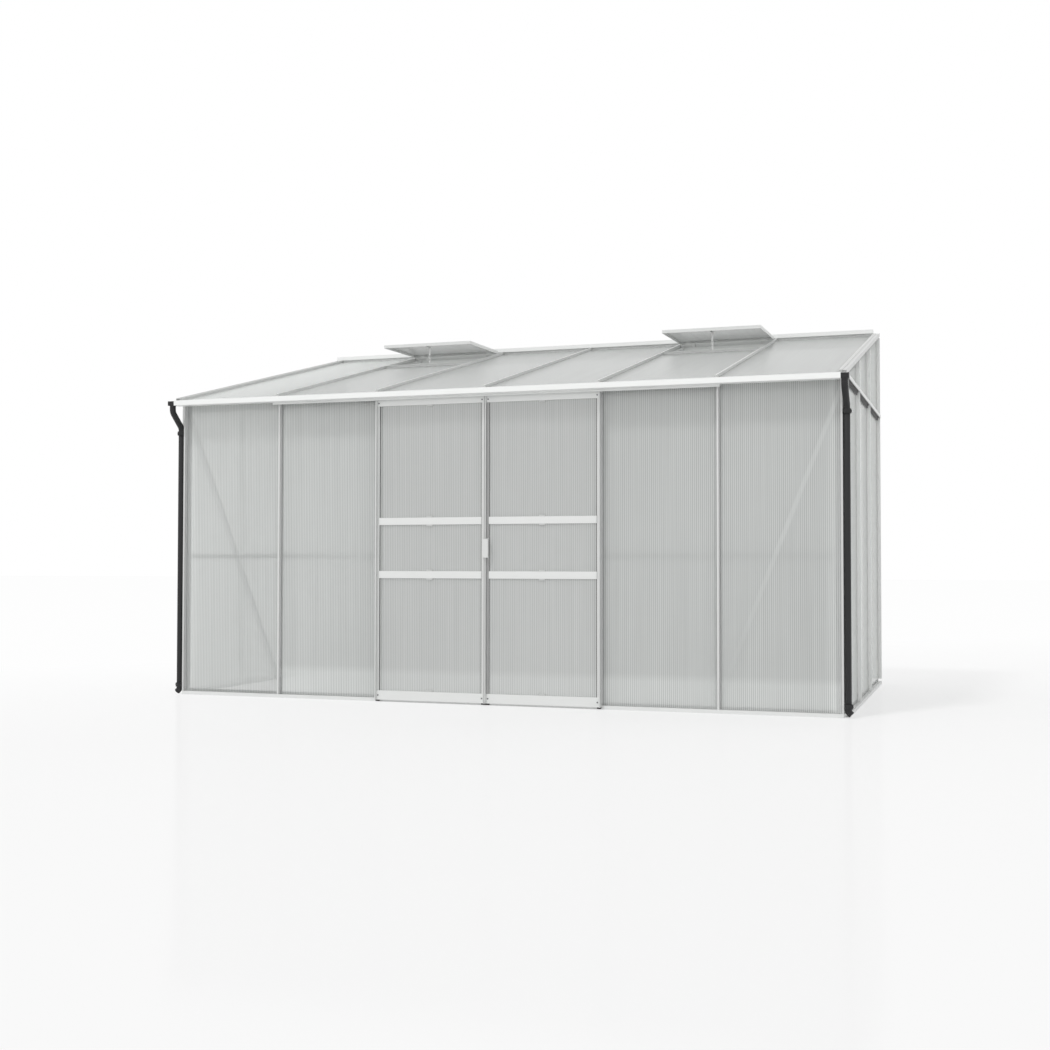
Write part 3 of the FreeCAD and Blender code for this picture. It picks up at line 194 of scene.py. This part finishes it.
# Light: how strong the surround is, and the lamp's strength, width in degrees and direction
SURROUND = 0.80
LAMP_STRENGTH = 0.8
LAMP_WIDTH = 9
LAMP_FROM = (-0.30, -0.53, 0.85)


# Node tree helpers

def empty_material(name):
    """A material whose tree holds only its output, and that output's socket for a shader."""
    material = bpy.data.materials.new(name)
    material.use_nodes = True
    tree = material.node_tree
    tree.nodes.clear()
    output = tree.nodes.new("ShaderNodeOutputMaterial")
    return material, tree, output.inputs["Surface"]


def new_material(name):
    """A material with its main shader linked to its output."""
    material, tree, surface = empty_material(name)
    shader = tree.nodes.new("ShaderNodeBsdfPrincipled")
    tree.links.new(shader.outputs["BSDF"], surface)
    return material, tree, shader


def coordinates(tree, scale=(1, 1, 1)):
    """Positions in the part's own frame, stretched by scale."""
    place = tree.nodes.new("ShaderNodeTexCoord")
    mapping = tree.nodes.new("ShaderNodeMapping")
    mapping.inputs["Scale"].default_value = scale
    tree.links.new(place.outputs["Object"], mapping.inputs["Vector"])
    return mapping.outputs["Vector"]


def along_axis(tree, axis):
    """The position along one axis of the part's own frame."""
    separate = tree.nodes.new("ShaderNodeSeparateXYZ")
    tree.links.new(coordinates(tree), separate.inputs["Vector"])
    return separate.outputs[axis]


def per_axis(axis, there, elsewhere):
    """Three numbers: one for an axis, and another for the other two."""
    return tuple(there if name == axis else elsewhere for name in "XYZ")


def noise(tree, scale, detail, stretch=(1, 1, 1)):
    """Noise from 0 to 1, drawn out along an axis where stretch is small."""
    texture = tree.nodes.new("ShaderNodeTexNoise")
    texture.inputs["Scale"].default_value = scale
    texture.inputs["Detail"].default_value = detail
    tree.links.new(coordinates(tree, stretch), texture.inputs["Vector"])
    return texture.outputs["Fac"]


def remap(tree, value, low, high, start=0.0, end=1.0):
    """Bring a value that runs from start to end into the range from low to high."""
    node = tree.nodes.new("ShaderNodeMapRange")
    node.inputs["From Min"].default_value = start
    node.inputs["From Max"].default_value = end
    node.inputs["To Min"].default_value = low
    node.inputs["To Max"].default_value = high
    tree.links.new(value, node.inputs["Value"])
    return node.outputs["Result"]


def feed(tree, value, socket):
    """Set a socket to a number, or link another socket to it."""
    if isinstance(value, (int, float)):
        socket.default_value = value
    else:
        tree.links.new(value, socket)


def calculate(tree, operation, *values):
    """The result of a Math node, from numbers or sockets."""
    node = tree.nodes.new("ShaderNodeMath")
    node.operation = operation
    for socket, value in zip(node.inputs, values):
        feed(tree, value, socket)
    return node.outputs["Value"]


def add(tree, first, second):
    return calculate(tree, "ADD", first, second)


def multiply(tree, first, second):
    return calculate(tree, "MULTIPLY", first, second)


def shade(tree, colour, value):
    """Darken or lighten a colour by a value near 1."""
    node = tree.nodes.new("ShaderNodeVectorMath")
    node.operation = "SCALE"
    node.inputs[0].default_value = colour
    tree.links.new(value, node.inputs["Scale"])
    return node.outputs["Vector"]


def toned(colour, tone):
    """A colour that is darker or lighter all over."""
    return tuple(part * tone for part in colour)


def bump(tree, shader, height, strength, distance):
    node = tree.nodes.new("ShaderNodeBump")
    node.inputs["Strength"].default_value = strength
    node.inputs["Distance"].default_value = distance
    tree.links.new(height, node.inputs["Height"])
    tree.links.new(node.outputs["Normal"], shader.inputs["Normal"])


def fixed_shader(tree, kind, **values):
    """A shader whose named inputs keep one value all over."""
    node = tree.nodes.new(kind)
    for socket, value in values.items():
        node.inputs[socket].default_value = value
    return node.outputs[0]


def mix(tree, share, first, second):
    """Two shaders mixed, with share as how much of the second."""
    node = tree.nodes.new("ShaderNodeMixShader")
    feed(tree, share, node.inputs["Fac"])
    tree.links.new(first, node.inputs[1])
    tree.links.new(second, node.inputs[2])
    return node.outputs["Shader"]


# Finishes

def aluminium(name, along, tone=1.0, metallic=0.25):
    """Extruded aluminium with fine die lines along an axis, handling marks and a soft sheen."""
    material, tree, shader = new_material(name)
    lines = noise(tree, scale=420.0, detail=2.0, stretch=per_axis(along, DIE_STRETCH, 1))
    marks = noise(tree, scale=3.2, detail=4.0)
    grain = add(tree, remap(tree, lines, low=0.955, high=1.03),
                remap(tree, marks, low=-0.035, high=0.035))
    tree.links.new(shade(tree, toned(ALUMINIUM, tone), grain), shader.inputs["Base Color"])
    tree.links.new(remap(tree, lines, low=0.30, high=0.46), shader.inputs["Roughness"])
    shader.inputs["Metallic"].default_value = metallic
    bump(tree, shader, lines, strength=0.10, distance=0.0004)
    return material


def flutes(tree, along):
    """Webs of the sheet seen through its skin, at an even pitch: narrow lines, and a soft swell."""
    turn = multiply(tree, along_axis(tree, along), 2 * math.pi / FLUTE_PITCH)
    swell = multiply(tree, add(tree, calculate(tree, "COSINE", turn), 1.0), 0.5)
    return calculate(tree, "POWER", swell, WEB_SHARPNESS), swell


def flanges(tree, place):
    """1 where the flange of an upright bar lies behind the front sheet and paints shade on it, 0
    away.
    """
    out = calculate(tree, "ABSOLUTE", place)
    away = calculate(tree, "PINGPONG", calculate(tree, "SUBTRACT", out, FIRST_BAR), BAR_STEP / 2)
    near = remap(tree, away, 1.0, 0.0, HALF_FLANGE - FLANGE_BLUR, HALF_FLANGE + FLANGE_BLUR)
    return multiply(tree, near, calculate(tree, "LESS_THAN", out, LAST_BAR))


def brace_band(tree, place, height):
    """1 where a brace lies behind the front sheet, and 0 away from it."""
    across = multiply(tree, calculate(tree, "ABSOLUTE", place), BRACE_ACROSS)
    beside = calculate(tree, "SUBTRACT", across, multiply(tree, height, BRACE_UP))
    away = calculate(tree, "ABSOLUTE", calculate(tree, "SUBTRACT", beside, BRACE_OFFSET))
    return remap(tree, away, 1.0, 0.0, BRACE_CORE, BRACE_FADE)


def brace_painted_light(tree, place, height, band):
    """Painted shade and light on the front sheet over the braces: how much it darkens or lightens.
    """
    at_right = remap(tree, height, BRACE_FOOT_SHADE, BRACE_HEAD_LIGHT, BRACE_LOW, BRACE_HIGH)
    shift = calculate(tree, "SUBTRACT", at_right, BRACE_LEFT_SHADE)
    side = remap(tree, place, 0.0, 1.0, -BRACE_SIDES, BRACE_SIDES)
    return add(tree, multiply(tree, band, add(tree, multiply(tree, shift, side), BRACE_LEFT_SHADE)), 1.0)


def front_painted_light_and_shade(tree, place, height, band):
    """Painted light and shade that darken or lighten a front sheet, for what lies behind and beside
    it.
    """
    yield remap(tree, flanges(tree, place), 1.0, FLANGE_SHADE)
    yield remap(tree, place, TONE_AT_LEFT, TONE_AT_RIGHT, CLEAR_FROM, CLEAR_TO)
    yield remap(tree, calculate(tree, "ABSOLUTE", place), 1.0, 1.0 + POST_GLOW, POST_LIGHT,
                POST_LIGHT + POST_REACH)
    yield brace_painted_light(tree, place, height, band)
    yield remap(tree, height, 1.0 - LOW_SHADE, 1.0, LOW_FROM, LOW_TO)


def foot_tone(tree, place, height):
    """How much the floor's light brightens the foot of a sheet."""
    glowing = remap(tree, height, FOOT_GLOW, 0.0, FOOT_LOW, FOOT_HIGH)
    there = remap(tree, place, 0.0, 1.0, FOOT_FROM, FOOT_TO)
    return add(tree, multiply(tree, glowing, there), 1.0)


def twin_wall(name, along, tone, clear=SHEET_CLEAR, glow=SHEET_GLOW, streak=SHEET_STREAK,
              front=False, foot=False, pale=None):
    """Clear twin-wall sheet: a milky body that glows when lit from behind, webs and a glossy skin.

    Clear, glow and streak mean what the comment on their defaults says. Pale is how much lighter
    the sheet is painted at the left gable, as painted light, and where along X that starts. A front
    sheet is painted with the shade of the flanges behind it and the painted light and shade of the
    brace behind it, and is clearest in its left bay. With foot, the floor's light shows.
    """
    material, tree, surface = empty_material(name)
    place = along_axis(tree, "X")
    height = along_axis(tree, "Z")
    webs, swell = flutes(tree, along)
    tones = []
    if front:
        band = brace_band(tree, place, height)
        webs = multiply(tree, webs, remap(tree, band, 1.0, WEBS_ON_BRACE))
        clear = remap(tree, place, CLEAR_AT_LEFT, CLEAR_AT_RIGHT, CLEAR_FROM, CLEAR_TO)
        tones.extend(front_painted_light_and_shade(tree, place, height, band))
    if foot:
        tones.append(foot_tone(tree, place, height))
    if pale:
        lighter, start = pale
        tones.append(remap(tree, place, 1.0 + lighter, 1.0, PALE_END, start))

    cloud = noise(tree, scale=1.3, detail=2.0)
    streaks = noise(tree, scale=95.0, detail=1.0, stretch=per_axis(along, 1, STREAK_STRETCH))
    amount = add(tree, remap(tree, webs, *WEB_TONES), remap(tree, cloud, low=-0.03, high=0.03))
    amount = add(tree, amount, remap(tree, streaks, -streak, streak, *STREAK_SPAN))
    for factor in tones:
        amount = multiply(tree, amount, factor)

    skin = tree.nodes.new("ShaderNodeBsdfPrincipled")
    tree.links.new(shade(tree, toned(SHEET, tone), amount), skin.inputs["Base Color"])
    skin.inputs["Roughness"].default_value = 0.22
    bump(tree, skin, swell, strength=0.35, distance=0.0006)
    onward = fixed_shader(tree, "ShaderNodeBsdfTranslucent", Color=SHEET_INNER)
    through = fixed_shader(tree, "ShaderNodeBsdfTransparent")
    body = mix(tree, glow, skin.outputs["BSDF"], onward)
    tree.links.new(mix(tree, clear, body, through), surface)
    return material


def black_plastic(name):
    """Moulded and drawn pipe: near black, with a fine grain and a satin skin."""
    material, tree, shader = new_material(name)
    grain = noise(tree, scale=900.0, detail=2.0)
    cloud = noise(tree, scale=7.0, detail=3.0)
    amount = add(tree, remap(tree, grain, low=0.9, high=1.1),
                 remap(tree, cloud, low=-0.12, high=0.12))
    tree.links.new(shade(tree, PIPE_BLACK, amount), shader.inputs["Base Color"])
    tree.links.new(remap(tree, cloud, low=0.36, high=0.50), shader.inputs["Roughness"])
    shader.inputs["Specular IOR Level"].default_value = 0.35
    bump(tree, shader, grain, strength=0.08, distance=0.0003)
    return material


def plain_polymer(name, colour, roughness):
    """Rubber seals and nylon parts: one colour with a faint mottle."""
    material, tree, shader = new_material(name)
    mottle = noise(tree, scale=300.0, detail=3.0)
    tree.links.new(shade(tree, colour, remap(tree, mottle, low=0.88, high=1.12)),
                   shader.inputs["Base Color"])
    tree.links.new(remap(tree, mottle, low=roughness - 0.06, high=roughness + 0.06),
                   shader.inputs["Roughness"])
    bump(tree, shader, mottle, strength=0.06, distance=0.0002)
    return material


def zinc_plate(name, colour):
    """Plated steel with small blotches."""
    material, tree, shader = new_material(name)
    blotch = noise(tree, scale=160.0, detail=3.0)
    tree.links.new(shade(tree, colour, remap(tree, blotch, low=0.86, high=1.08)),
                   shader.inputs["Base Color"])
    tree.links.new(remap(tree, blotch, low=0.22, high=0.40), shader.inputs["Roughness"])
    shader.inputs["Metallic"].default_value = 0.9
    return material


# The tones given to these finishes are painted light and shade: the same aluminium and the same
# sheet are lighter where a part should look lit, as the gutter, the gable bars and the gable sheets,
# and darker where it should look shaded, as the rails and braces behind the front sheets and the
# vent sheets
FINISH = {
    "bars": aluminium("aluminium_upright", "Z", 0.90),
    "posts": aluminium("aluminium_post", "Z", 0.82),
    "stiles": aluminium("aluminium_stile", "Z", 0.88),
    "clips": aluminium("aluminium_clip", "X", 0.72),
    "rails": aluminium("aluminium_lengthwise", "X"),
    "inner_rails": aluminium("aluminium_inner_rail", "X", 0.50),
    "braces": aluminium("aluminium_brace", "Z", 0.50),
    "gable_bars": aluminium("aluminium_gable_bar", "Z", 1.14),
    "slopes": aluminium("aluminium_sloping", "Y", 0.90),
    "verge": aluminium("aluminium_verge", "Y", 0.78),
    "gutter": aluminium("aluminium_gutter", "X", 1.16, metallic=0.1),
    "front_sheet": twin_wall("twin_wall_front", "X", 0.955, front=True, foot=True,
                             pale=(0.38, -0.65)),
    "door_sheet": twin_wall("twin_wall_door", "X", 0.97, streak=0.06, foot=True),
    "gable_sheet": twin_wall("twin_wall_gable", "Y", 1.40, clear=0.34, glow=0.38),
    "roof_sheet": twin_wall("twin_wall_roof", "X", 1.08, pale=(0.55, -1.1)),
    "vent_sheet": twin_wall("twin_wall_vent", "X", 0.90, clear=0.12, glow=0.12),
    "pipes": black_plastic("black_pipe"),
    "seal": plain_polymer("grey_seal", SEAL_GREY, 0.6),
    "gasket": plain_polymer("black_gasket", GASKET_GREY, 0.6),
    "brush": plain_polymer("grey_brush_and_shade", BRUSH_AND_SHADE_GREY, 0.7),
    "nylon": plain_polymer("black_nylon", NYLON_BLACK, 0.45),
    "zinc": zinc_plate("zinc_plate", ZINC),
    "screws": zinc_plate("dull_screws", DULL_STEEL),
}

METAL_FINISH = {
    "bars": ("front_glazing_bars", "door_jamb_bars", "door_right_handle", "vent_left_stay",
             "vent_right_stay"),
    "gable_bars": ("gable_glazing_bars", "wall_posts"),
    "inner_rails": ("front_mid_rails",),
    "braces": ("corner_braces",),
    "posts": ("corner_posts",),
    "clips": ("door_left_rail_clips", "door_right_rail_clips"),
    "stiles": ("door_left_stiles", "door_right_stiles"),
    "slopes": ("gable_sills", "gable_eaves_rails", "roof_glazing_bars"),
    "verge": ("verge_rafters",),
    "gutter": ("eaves_gutter", "ridge_wall_plate"),
}
SHEET_FINISH = {"gable_panes": "gable_sheet", "roof_panes": "roof_sheet"}
MOVING_SHEETS = {"door": "door_sheet", "vent": "vent_sheet"}
SLOT_FINISH = {
    "black_plastic": "pipes",
    "grey_seal": "seal",
    "nylon": "nylon",
    "zinc_steel": "zinc",
}


def finish_of(name, slot):
    """Which finish a node of the model takes, from its material slot and the way it runs."""
    kind = name.split("_")[0]
    if slot == "polycarbonate":
        return MOVING_SHEETS.get(kind) or SHEET_FINISH.get(name, "front_sheet")
    if slot == "aluminium_frame":
        special = [finish for finish, names in METAL_FINISH.items() if name in names]
        return special[0] if special else "rails"
    if kind == "door" and name.endswith("_screws"):
        return "screws"
    return SLOT_FINISH[slot]


def round_edges(item, width):
    """Round the edges of a piece, over its own mesh."""
    edge = item.modifiers.new("edge", "BEVEL")
    edge.width = width
    edge.segments = ROUND_STEPS
    return edge


def dress_nodes():
    """Give each node its finish, and round the edges of metal and plastic pieces."""
    for entry in frame["record"]["subparts"]:
        name = entry["node"]
        item = nodes[name]
        item.data.materials.clear()
        item.data.materials.append(FINISH[finish_of(name, entry["material_slot"])])
        if entry["material_slot"] in ("polycarbonate", "grey_seal"):
            continue
        weld = item.modifiers.new("weld", "WELD")
        weld.merge_threshold = WELD_DISTANCE
        edge = round_edges(item, EDGE_ROUND)
        edge.limit_method = "ANGLE"
        edge.angle_limit = math.radians(EDGE_ANGLE)
        edge.harden_normals = True


# Small pieces that the CAD model leaves out

def lofted(name, ring_pairs, finish, body):
    """A piece of closed bars, each of which runs from one ring of corners to another."""
    mesh = bpy.data.meshes.new(name)
    form = bmesh.new()
    for pair in ring_pairs:
        first, last = [[form.verts.new(corner) for corner in ring] for ring in pair]
        form.faces.new(first)
        form.faces.new(reversed(last))
        for index in range(len(first)):
            after = (index + 1) % len(first)
            form.faces.new((first[after], first[index], last[index], last[after]))
    bmesh.ops.recalc_face_normals(form, faces=form.faces)
    form.to_mesh(mesh)
    form.free()
    piece = bpy.data.objects.new(name, mesh)
    bpy.context.scene.collection.objects.link(piece)
    mesh.materials.append(FINISH[finish])
    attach(piece, body)
    return piece


def make_gable_gaskets():
    """Rubber lips that close the top of each gable sheet under the eaves rail; their near-black is
    partly painted shade.
    """
    for side, side_name in ((-1, "left"), (1, "right")):
        for number, span in enumerate(GABLE_BAYS, start=1):
            rings = [[(side * (GABLE_SHEET + out), end, RAIL_UNDER + up) for out, up in GASKET_LIP]
                     for end in span]
            lip = lofted(f"gable_gasket_{side_name}_{number}", [rings], "gasket", "frame")
            round_edges(lip, GASKET_ROUND)


def upright_strips(name, sections, spans, finish, body):
    """A piece of upright strips, each of one section of X, Y pairs, over each span of heights."""
    pairs = [[[(across, out, up) for across, out in section] for up in span]
             for section in sections for span in spans]
    lofted(name, pairs, finish, body)


def make_leaf_seals():
    """Rubber lips between the stiles and panes of both leaves, and the brush where they meet, partly
    painted shade.
    """
    for side, body in ((-1, "door_left"), (1, "door_right")):
        sections = []
        for inner in (LEAF_INNER_EDGE, LEAF_OUTER_EDGE - LIP_WIDTH):
            outer = inner + LIP_WIDTH
            sections.append([(side * inner, LEAF_SHEET), (side * inner, LEAF_SHEET - LIP_SHOULDER),
                             (side * (inner + outer) / 2, LEAF_SHEET - LIP_PROUD),
                             (side * outer, LEAF_SHEET - LIP_SHOULDER), (side * outer, LEAF_SHEET)])
        upright_strips(f"{body}_pane_gaskets", sections, LEAF_SPANS, "gasket", body)
    upright_strips("door_right_brush_and_shade", [BRUSH], BRUSH_SPANS, "brush", "door_right")


# Stage: floor, light and camera

def camera_ray_mix(tree, plain, seen):
    """Use seen for rays from the camera, and in gloss and glass, and plain for the rest."""
    path = tree.nodes.new("ShaderNodeLightPath")
    camera, gloss, glass = [path.outputs[f"Is {kind} Ray"]
                            for kind in ("Camera", "Glossy", "Transmission")]
    chosen = calculate(tree, "MAXIMUM", calculate(tree, "MAXIMUM", camera, gloss), glass)
    return mix(tree, chosen, plain, seen)


def make_floor():
    """A pale studio floor that keeps the shadow and a faint mirror image of the greenhouse."""
    bpy.ops.mesh.primitive_plane_add(size=FLOOR_SIZE, location=(0, 0, 0))
    floor = bpy.context.object
    floor.name = "studio_floor"
    material, tree, surface = empty_material("studio_floor")
    matt = fixed_shader(tree, "ShaderNodeBsdfDiffuse", Color=FLOOR)
    pale = fixed_shader(tree, "ShaderNodeBsdfDiffuse", Color=FLOOR_SEEN)
    lift = fixed_shader(tree, "ShaderNodeEmission", Strength=FLOOR_LIFT)
    white = fixed_shader(tree, "ShaderNodeEmission", Strength=1.0)
    sheen = fixed_shader(tree, "ShaderNodeBsdfGlossy", Roughness=SHEEN_ROUGHNESS)
    lifted = tree.nodes.new("ShaderNodeAddShader")
    tree.links.new(pale, lifted.inputs[0])
    tree.links.new(lift, lifted.inputs[1])
    far = tree.nodes.new("ShaderNodeVectorMath")
    far.operation = "DOT_PRODUCT"
    far.inputs[1].default_value = FADE_AWAY
    tree.links.new(coordinates(tree), far.inputs[0])
    faded = remap(tree, far.outputs["Value"], 0.0, 1.0, FADE_START, FADE_END)
    seen = mix(tree, faded, lifted.outputs["Shader"], white)
    tree.links.new(mix(tree, FLOOR_SHEEN, camera_ray_mix(tree, matt, seen), sheen), surface)
    floor.data.materials.append(material)


def make_light():
    """An even pale surround, and one soft lamp from the front left and above."""
    world = bpy.data.worlds.new("studio")
    bpy.context.scene.world = world
    world.use_nodes = True
    tree = world.node_tree
    tree.nodes.clear()
    around = fixed_shader(tree, "ShaderNodeBackground", Color=WHITE, Strength=SURROUND)
    white = fixed_shader(tree, "ShaderNodeBackground", Color=WHITE, Strength=1.0)
    output = tree.nodes.new("ShaderNodeOutputWorld")
    tree.links.new(camera_ray_mix(tree, around, white), output.inputs["Surface"])

    lamp = bpy.data.lights.new("key", "SUN")
    lamp.energy = LAMP_STRENGTH
    lamp.angle = math.radians(LAMP_WIDTH)
    key = bpy.data.objects.new("key", lamp)
    bpy.context.scene.collection.objects.link(key)
    key.rotation_euler = Vector(LAMP_FROM).to_track_quat("Z", "Y").to_euler()


def make_camera():
    """The camera of the photograph. An unturned one looks down, so it is raised to the horizon."""
    data = bpy.data.cameras.new("camera")
    data.sensor_width = SENSOR_WIDTH
    data.lens = FOCAL_PIXELS / FRAME_PIXELS * SENSOR_WIDTH
    data.clip_end = VIEW_DEPTH
    camera = bpy.data.objects.new("camera", data)
    bpy.context.scene.collection.objects.link(camera)
    turn = Matrix.Rotation(math.radians(CAMERA_YAW), 4, "Z")
    lean = Matrix.Rotation(math.radians(90 + CAMERA_PITCH), 4, "X")
    roll = Matrix.Rotation(math.radians(CAMERA_ROLL), 4, "Z")
    camera.matrix_world = Matrix.Translation(CAMERA_PLACE) @ turn @ lean @ roll
    bpy.context.scene.camera = camera


bpy.context.scene.view_settings.view_transform = "Standard"
dress_nodes()
make_gable_gaskets()
make_leaf_seals()
make_floor()
make_light()
make_camera()
